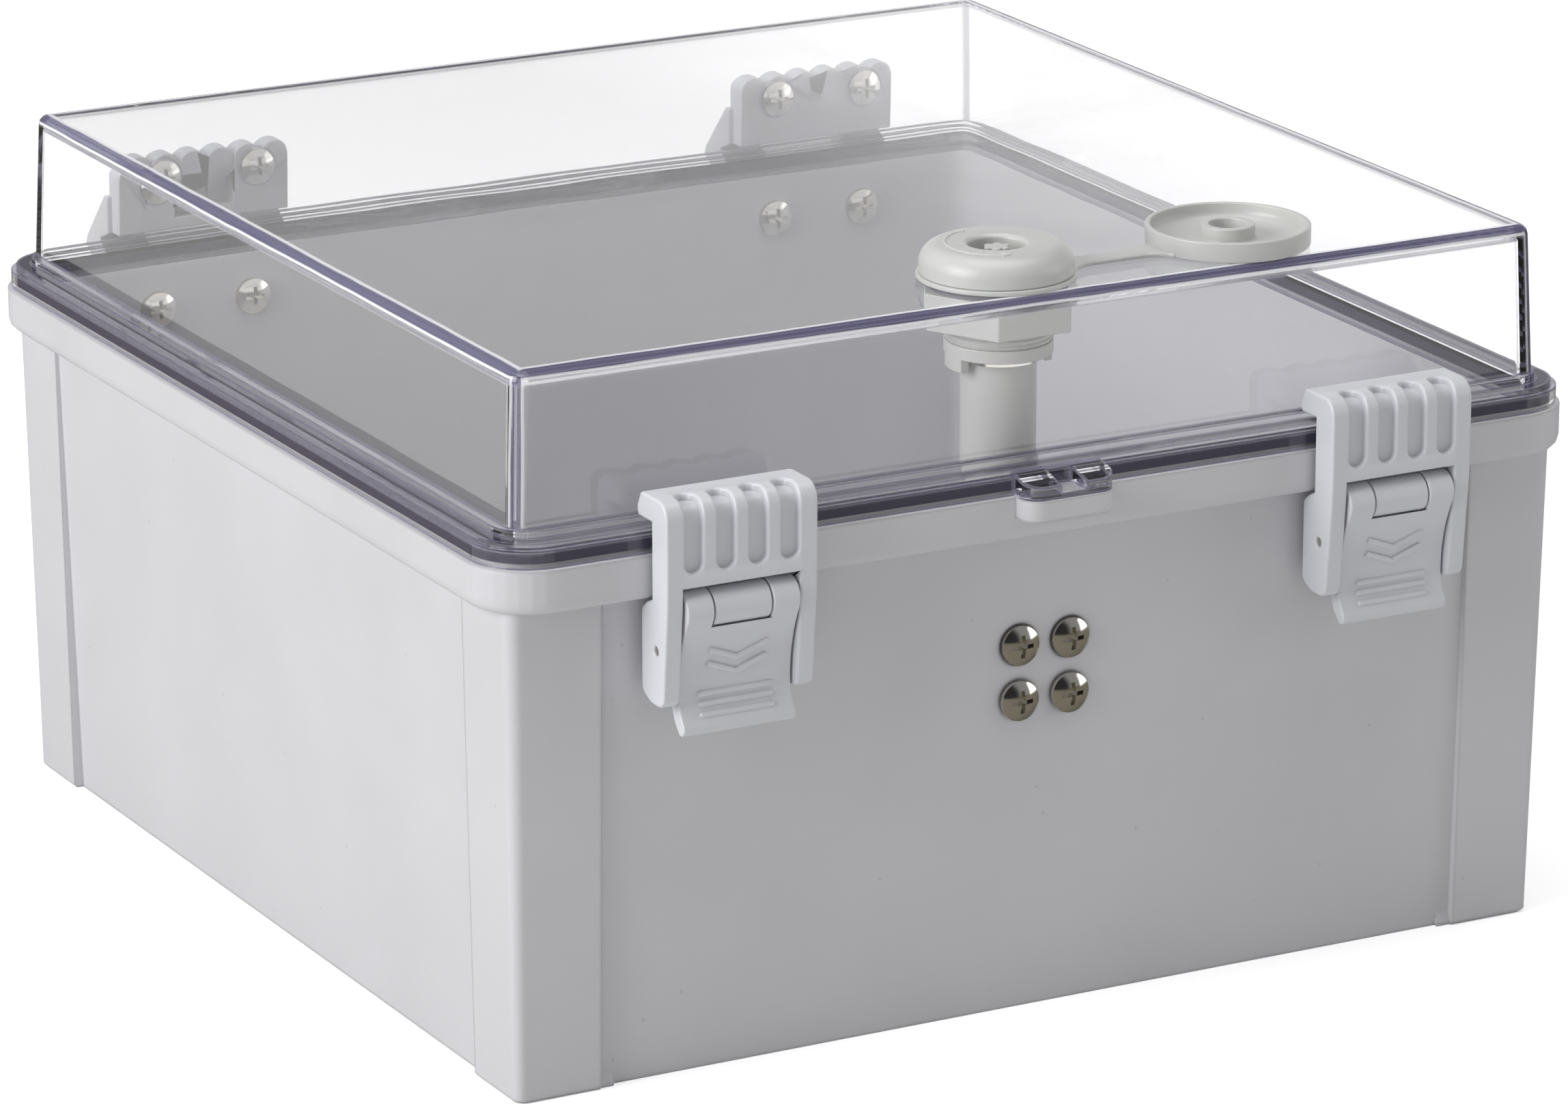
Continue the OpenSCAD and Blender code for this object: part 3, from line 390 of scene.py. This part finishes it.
def roundedCopy(name, radius, way):
    mesh = nodes[name].data.copy()
    form = bmesh.new()
    form.from_mesh(mesh)
    bmesh.ops.remove_doubles(form, verts=form.verts, dist=way["weld"] * mm)
    bmesh.ops.dissolve_limit(form, angle_limit=math.radians(way["flat"]),
                             verts=form.verts, edges=form.edges)
    # outer edges get the whole radius, and the creases where ribs stand on a face a small part of it
    weight = form.edges.layers.float.new("bevel_weight_edge")
    for edge in form.edges:
        lean = edge.calc_face_angle_signed() if len(edge.link_faces) == 2 else 0.0
        if abs(lean) > math.radians(way["sharp"]):
            edge[weight] = 1.0 if lean > 0 else way["crease"]
    form.to_mesh(mesh)
    form.free()
    piece = bpy.data.objects.new(name + "_moulded", mesh)
    bpy.context.scene.collection.objects.link(piece)
    bevel = piece.modifiers.new("edges", "BEVEL")
    bevel.width = radius * mm
    bevel.segments = way["segments"]
    bevel.limit_method = "WEIGHT"
    bevel.use_clamp_overlap = False
    bevel.harden_normals = True
    for face in mesh.polygons:
        face.use_smooth = True
    mesh.set_sharp_from_angle(angle=math.radians(way["sharp"]))
    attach(piece, bodyOf[name])
    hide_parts(name)


for name, radius in edgeRounding.items():
    roundedCopy(name, radius, roundingWay)
print("edges rounded:", len(edgeRounding))

# ---- shared ways to make a piece; lengths are in mm ----


def centreOf(node):
    low, high = (Vector(corner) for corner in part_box(node))
    return (low + high) / 2 / mm


def sizeOf(node):
    low, high = (Vector(corner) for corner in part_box(node))
    return (high - low) / mm


def addPiece(name, form, slot, body=None, stands=(), sharpAbove=40):
    bmesh.ops.recalc_face_normals(form, faces=form.faces)
    mesh = bpy.data.meshes.new(name)
    form.to_mesh(mesh)
    form.free()
    mesh.shade_smooth()
    mesh.set_sharp_from_angle(angle=math.radians(sharpAbove))
    mesh.materials.append(finishes[slot])
    piece = bpy.data.objects.new(name, mesh)
    bpy.context.scene.collection.objects.link(piece)
    if body:
        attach(piece, body)
    for node in stands:
        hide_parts(node)
    return piece


# Corners of a section are (r, z, rounding); each rounding becomes a short arc
def softSection(corners, steps=4):
    points = []
    for i, (r, z, rounding) in enumerate(corners):
        here = Vector((r, z))
        if not rounding or i in (0, len(corners) - 1):
            points.append(here)
            continue
        back = (Vector(corners[i - 1][:2]) - here).normalized()
        on = (Vector(corners[i + 1][:2]) - here).normalized()
        half = back.angle(on) / 2
        centre = here + (back + on).normalized() * rounding / math.sin(half)
        start = here + back * rounding / math.tan(half) - centre
        end = here + on * rounding / math.tan(half) - centre
        turn = start.angle_signed(end)
        for k in range(steps + 1):
            angle = -turn * k / steps
            points.append(centre + Vector((start.x * math.cos(angle) - start.y * math.sin(angle),
                                           start.x * math.sin(angle) + start.y * math.cos(angle))))
    return points


# Turns a section round the upright axis at centre; a point on the axis closes the form
def turned(form, section, centre, sides=96, ring=False):
    rings = []
    for r, z in section:
        if r < 0.001:  # mm, so on the axis
            rings.append([form.verts.new(Vector((centre.x, centre.y, z)) * mm)])
            continue
        rings.append([form.verts.new(Vector((centre.x + r * math.cos(math.tau * i / sides),
                                             centre.y + r * math.sin(math.tau * i / sides), z)) * mm)
                      for i in range(sides)])
    pairs = list(zip(rings, rings[1:] + rings[:1])) if ring else list(zip(rings, rings[1:]))
    for near, far in pairs:
        for i in range(sides):
            j = (i + 1) % sides
            corners = [near[i % len(near)], near[j % len(near)], far[j % len(far)], far[i % len(far)]]
            form.faces.new(list(dict.fromkeys(corners)))


# Skins a run of equal sections and closes its two ends
def skinned(form, sections):
    loops = [[form.verts.new(Vector(point) * mm) for point in section] for section in sections]
    for near, far in zip(loops, loops[1:]):
        for i in range(len(near)):
            j = (i + 1) % len(near)
            form.faces.new((near[i], near[j], far[j], far[i]))
    form.faces.new(loops[0])
    form.faces.new(loops[-1])


# ---- weather cap: ring under the disc, strap and cup, in soft moulded plastic ----

weatherCap = {
    "hole": 13.1,        # radius inside the ring
    "strapWide": 6.4,
    "flare": 8.0,        # radius by which the strap widens into the ring and the cup
    "bend": 9.0,         # length on either side of the fold that bends
    "thick": 1.2,
    "edge": 0.35,
    "crown": 0.12,       # how much higher the strap's middle line stands
    "strapLift": 0.02,   # the strap lies this far off the cover
    "intoRing": 1.5,     # how far the strap's ends reach into the ring and the cup's wall
    "intoCup": 1.0,
    "steps": 60,
    "floor": 1.38,       # leaves room for the raised arrows when the cap is on
    "lift": 0.05,        # the cup lies this far off the cover
    "foot": 0.6,         # rounding under the cup
    "wall": 1.3,
    "inside": 2.0,       # rounding between the cup's floor and wall
    "bossOut": 6.7,
    "bossIn": 4.7,
    "bossHigh": 5.0,
    "bossFootIn": 0.5,   # roundings at the boss's foot
    "bossFootOut": 0.7,
}


def strapHalfWidth(size, ringR, distance):
    flareY = size["strapWide"] / 2 + size["flare"]
    flareX = math.sqrt((ringR + size["flare"]) ** 2 - flareY ** 2)
    if distance >= flareX:
        return size["strapWide"] / 2
    inside = max(0.0, size["flare"] ** 2 - (distance - flareX) ** 2)
    return min(flareY - math.sqrt(inside), flareY * ringR / (ringR + size["flare"]))


def addTetherRing(size, lock, ringR, low):
    top, edge = low + size["thick"], size["edge"]
    form = bmesh.new()
    turned(form, softSection([(size["hole"], low, 0), (ringR, low, edge), (ringR, top, edge),
                              (size["hole"], top, 0)]), lock, ring=True)
    addPiece("tetherRing", form, "port_grey", "lid", ["cap_tether"])


def addWeatherCup(size, cup, cupR, low, high):
    edge, inner = size["edge"], cupR - size["wall"]
    foot, floorTop, bossTop = low + size["lift"], low + size["floor"], low + size["bossHigh"]
    form = bmesh.new()
    turned(form, softSection([
        (0, floorTop, 0), (size["bossIn"], floorTop, size["bossFootIn"]), (size["bossIn"], bossTop, edge),
        (size["bossOut"], bossTop, edge), (size["bossOut"], floorTop, size["bossFootOut"]),
        (inner, floorTop, size["inside"]), (inner, high, edge), (cupR, high, edge),
        (cupR, foot, size["foot"]), (0, foot, 0)]), cup)
    addPiece("weatherCup", form, "port_grey", "cap", ["sealing_cap"])


# The strap runs from inside the ring to inside the cup's wall
def addCapStrap(size, lock, cup, ringR, cupR, low):
    top, edge, under = low + size["thick"], size["edge"], low + size["strapLift"]
    start, end = lock.x + ringR - size["intoRing"], cup.x - cupR + size["intoCup"]
    middle, steps = lock.y, size["steps"]
    sections = []
    for i in range(steps + 1):
        x = start + (end - start) * i / steps
        half = max(strapHalfWidth(size, ringR, x - lock.x), strapHalfWidth(size, cupR, cup.x - x))
        crown = size["crown"] * math.sin(math.pi * i / steps)
        sections.append([
            (x, middle - half, low + edge), (x, middle - half, top - edge), (x, middle - half + edge, top),
            (x, middle, top + crown), (x, middle + half - edge, top), (x, middle + half, top - edge),
            (x, middle + half, low + edge), (x, middle + half - edge, under),
            (x, middle - half + edge, under)])
    form = bmesh.new()
    skinned(form, sections)
    piece = addPiece("capStrap", form, "port_grey")
    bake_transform(piece)


def addWeatherCap(size):
    lock, cup = centreOf("lock_core"), centreOf("sealing_cap")
    cupR, ringR = sizeOf("sealing_cap").y / 2, sizeOf("cap_tether").y / 2
    cup.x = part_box("sealing_cap")[1][0] / mm - cupR
    low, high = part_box("sealing_cap")[0][2] / mm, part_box("sealing_cap")[1][2] / mm
    addTetherRing(size, lock, ringR, low)
    addWeatherCup(size, cup, cupR, low, high)
    addCapStrap(size, lock, cup, ringR, cupR, low)


addWeatherCap(weatherCap)
print("weather cap made")

# ---- lock: raised turning arrows on the disc, and the thread below the nut ----

lockMarks = {
    "radius": 12.6,
    "from": 104,         # degrees
    "to": 252,
    "steps": 48,
    "ridge": 0.8,        # width of the raised line
    "high": 0.27,
    "head": 1.7,         # length of an arrow head; the next three are shares of it
    "tip": 0.5,          # how far its tip stands past the line's end
    "barb": 0.7,         # how far its barbs lie back
    "spread": 0.8,       # how far they stand to the side
    "headRidge": 0.8,    # width of its lines, in shares of the ridge
    "tick": 9.2,         # radius of the short inner mark
    "tickHalf": 0.9,
    "tickAt": 171,
}
shankThread = {
    "root": 12.95,
    "crest": 13.3,
    "pitch": 1.25,
    "turns": 3,
    "above": 0.3,        # first turn, above the shank's lower end
    "rise": (0.1, 0.45),   # heights within a turn where the ridge begins to rise and is full
    "fall": (0.65, 1.0),   # and where it begins to fall and ends
    "skin": 0.4,         # how far the piece reaches into the shank
}
# A raised line's section: across and up, in shares of its width and height
ridgeShape = ((-0.5, 0), (-0.38, 0.7), (-0.15, 1), (0.15, 1), (0.38, 0.7), (0.5, 0))


# A rounded ridge along a path of points and their upward directions; it starts a little below the surface
def raisedLine(form, path, width, high, sink=0.08):
    sections = []
    for i, (point, up) in enumerate(path):
        before, after = path[max(0, i - 1)][0], path[min(len(path) - 1, i + 1)][0]
        side = up.cross(after - before).normalized()
        sections.append([point + side * (width * across) + up * (high * rise - sink * (1 - rise))
                         for across, rise in ridgeShape])
    skinned(form, sections)


def addLockMarks(size):
    centre, up = centreOf("lock_core"), Vector((0, 0, 1))
    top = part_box("lock_body")[1][2] / mm

    def onDisc(radius, degrees):
        angle = math.radians(degrees)
        return Vector((centre.x + radius * math.cos(angle), centre.y + radius * math.sin(angle), top)), up

    form = bmesh.new()
    span, steps = size["to"] - size["from"], size["steps"]
    raisedLine(form, [onDisc(size["radius"], size["from"] + span * i / steps) for i in range(steps + 1)],
               size["ridge"], size["high"])
    for at, way in ((size["from"], 1), (size["to"], -1)):
        lean = math.degrees(size["head"] / size["radius"]) * way
        tip = onDisc(size["radius"], at - lean * size["tip"])
        for side in (-1, 1):
            barb = onDisc(size["radius"] + side * size["head"] * size["spread"], at + lean * size["barb"])
            raisedLine(form, [tip, barb], size["ridge"] * size["headRidge"], size["high"])
    tick = [onDisc(size["tick"] + end * size["tickHalf"], size["tickAt"]) for end in (-1, 1)]
    raisedLine(form, tick, size["ridge"], size["high"])
    addPiece("discArrows", form, "port_grey", "lid")


def addShankThread(size):
    root, crest, inside = size["root"], size["crest"], size["root"] - size["skin"]
    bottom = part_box("lock_body")[0][2] / mm + size["above"]
    top = bottom + size["turns"] * size["pitch"]
    section = [(root, bottom)]
    for i in range(size["turns"]):
        z = bottom + i * size["pitch"]
        section += [(root, z + size["rise"][0]), (crest, z + size["rise"][1]),
                    (crest, z + size["fall"][0]), (root, z + size["fall"][1])]
    section += [(root, top), (inside, top), (inside, bottom)]
    form = bmesh.new()
    turned(form, section, centreOf("lock_core"), ring=True)
    addPiece("shankThread", form, "port_grey", "lid")


addLockMarks(lockMarks)
addShankThread(shankThread)
print("lock details made")

# ---- levers: a raised double chevron that shows which way to pull ----

pullMark = {
    "halfWide": 7.6,
    "drop": 3.0,
    "down": -10.0,       # upper chevron's ends, measured from the lever's pivot
    "apart": 3.6,
    "count": 2,
    "steps": 8,          # on either side of the point
    "ridge": 1.6,
    "high": 0.8,
    "pivotR": 4.9,       # the lever's own front: one sweep from its ears to the waist
    "waistOut": -0.2,
    "waistUp": -21.0,
}


def addPullMark(side, size):
    pivot = centreOf("latch_pivot_pin_" + side)
    sweep = ((size["waistUp"] ** 2 + size["waistOut"] ** 2 - size["pivotR"] ** 2)
             / 2 / (size["pivotR"] - size["waistOut"]))

    def onLever(x, up):
        rise = up - size["waistUp"]
        reach = math.sqrt(sweep ** 2 - rise ** 2)
        out = size["waistOut"] + sweep - reach
        return Vector((pivot.x + x, pivot.y - out, pivot.z + up)), Vector((0, -reach, rise)).normalized()

    form = bmesh.new()
    shares = [i / size["steps"] for i in range(-size["steps"], size["steps"] + 1)]
    for k in range(size["count"]):
        start = size["down"] - k * size["apart"]
        raisedLine(form, [onLever(size["halfWide"] * share, start - size["drop"] * (1 - abs(share)))
                          for share in shares], size["ridge"], size["high"])
    addPiece("pullMark_" + side, form, "latch_grey", "lever_" + side)


for side in ("left", "right"):
    addPullMark(side, pullMark)
print("pull marks made")

# ---- studio ----

studio = {
    "backdrop": 1.0,     # what the camera, gloss and glass see
    "fill": 0.25,        # what lights the part from all round
    "room": 0.10,        # what gloss sees of the dark room in front
    "roomWay": (-0.42, -0.90, 0.05),
    "roomEdge": (0.62, 0.86),     # cosines from the room's middle at which it begins and is darkest
    "far": 0.30,         # what gloss sees of the backdrop, away from its lit end
    "lit": 0.95,
    "litWay": (0.641, 0.641, -0.423),
    "litEdge": (0.734, 0.753),
}
softBoxes = {            # name: place and side in metres, and watts
    "keyBox": ((-2.3, -0.2, 1.05), 1.5, 47.0),
    "topBox": ((0.1, -0.1, 2.2), 1.8, 23.0),
    "sideBox": ((1.9, -0.95, 0.45), 1.1, 6.0),
}
softBoxAim = (0, 0, 0.09)
lightBounces = {         # light runs a long way inside the clear cover's edges
    "max_bounces": 24,
    "glossy_bounces": 16,
    "transmission_bounces": 24,
}
paperFloor = {
    "half": 6,           # metres
    "colour": "#f4f4f4",
    "inGloss": "#8b877a",
    "glow": 0.45,        # lifts the paper to white for the camera
    "glowInCover": 0.62,   # and for what shows through the cover
}


def addSoftBox(name, place, side, watts):
    data = bpy.data.lights.new(name, "AREA")
    data.shape = "RECTANGLE"
    data.size, data.size_y = side, side
    data.energy = watts
    lamp = bpy.data.objects.new(name, data)
    lamp.location = place
    lamp.rotation_euler = (Vector(softBoxAim) - Vector(place)).to_track_quat("-Z", "Y").to_euler()
    bpy.context.scene.collection.objects.link(lamp)


# Rays that gloss throws back, without those that have passed the clear cover
def mirroredRays(tree, rays):
    return addNode(tree, "ShaderNodeMath", {0: rays["Is Glossy Ray"], 1: rays["Is Transmission Ray"]},
                   operation="SUBTRACT", use_clamp=True)


# A strength that goes from outside to inside within one part of the backdrop
def backdropZone(tree, way, middle, edge, outside, inside):
    facing = addNode(tree, "ShaderNodeVectorMath", {0: way, 1: middle}, operation="DOT_PRODUCT")
    return addNode(tree, "ShaderNodeMapRange", {
        "Value": facing.outputs["Value"], "From Min": edge[0], "From Max": edge[1],
        "To Min": outside, "To Max": inside}, interpolation_type="SMOOTHSTEP")


def addBackdrop(values):
    world = bpy.data.worlds.new("studio")
    bpy.context.scene.world = world
    world.use_nodes = True
    tree = world.node_tree
    tree.nodes.clear()
    rays = addNode(tree, "ShaderNodeLightPath").outputs
    seen = addNode(tree, "ShaderNodeMath", {0: rays["Is Camera Ray"], 1: rays["Is Glossy Ray"]},
                   operation="MAXIMUM")
    seen = addNode(tree, "ShaderNodeMath", {0: seen, 1: rays["Is Transmission Ray"]}, operation="MAXIMUM")
    strength = addNode(tree, "ShaderNodeMapRange", {
        "Value": seen, "To Min": values["fill"], "To Max": values["backdrop"]})
    # only gloss sees the dark room and the lit end of the backdrop
    way = addNode(tree, "ShaderNodeTexCoord").outputs["Generated"]
    room = backdropZone(tree, way, values["roomWay"], values["roomEdge"], 1.0, values["room"])
    lit = backdropZone(tree, way, values["litWay"], values["litEdge"], values["far"], values["lit"])
    zones = addNode(tree, "ShaderNodeMath", {0: room, 1: lit}, operation="MULTIPLY")
    inGloss = addNode(tree, "ShaderNodeMix", {"Factor": mirroredRays(tree, rays), "A": 1.0, "B": zones})
    strength = addNode(tree, "ShaderNodeMath", {0: strength, 1: inGloss}, operation="MULTIPLY")
    sky = addNode(tree, "ShaderNodeBackground", {"Color": linear("#ffffff"), "Strength": strength})
    addNode(tree, "ShaderNodeOutputWorld", {"Surface": sky})


def addFloor(values):
    mesh = bpy.data.meshes.new("floor")
    form = bmesh.new()
    bmesh.ops.create_grid(form, x_segments=1, y_segments=1, size=values["half"])
    form.to_mesh(mesh)
    form.free()
    floor = bpy.data.objects.new("floor", mesh)
    bpy.context.scene.collection.objects.link(floor)
    material = bpy.data.materials.new("paperFloor")
    material.use_nodes = True
    tree = material.node_tree
    tree.nodes.clear()
    rays = addNode(tree, "ShaderNodeLightPath").outputs
    shade = addNode(tree, "ShaderNodeMix", {
        "Factor": mirroredRays(tree, rays), 6: linear(values["colour"]), 7: linear(values["inGloss"])},
        data_type="RGBA")
    paper = addNode(tree, "ShaderNodeBsdfDiffuse", {"Color": shade.outputs[2]})
    direct = addNode(tree, "ShaderNodeMath", {0: rays["Is Camera Ray"], 1: values["glow"]},
                     operation="MULTIPLY")
    lift = addNode(tree, "ShaderNodeMath", {
        0: rays["Is Transmission Ray"], 1: values["glowInCover"], 2: direct}, operation="MULTIPLY_ADD")
    glow = addNode(tree, "ShaderNodeEmission", {"Color": linear("#ffffff"), "Strength": lift})
    both = addNode(tree, "ShaderNodeAddShader", {0: paper, 1: glow})
    addNode(tree, "ShaderNodeOutputMaterial", {"Surface": both})
    mesh.materials.append(material)


bpy.context.scene.view_settings.view_transform = "Standard"
for name, count in lightBounces.items():
    setattr(bpy.context.scene.cycles, name, count)
addBackdrop(studio)
for name, (place, side, watts) in softBoxes.items():
    addSoftBox(name, place, side, watts)
addFloor(paperFloor)
print("studio lit")
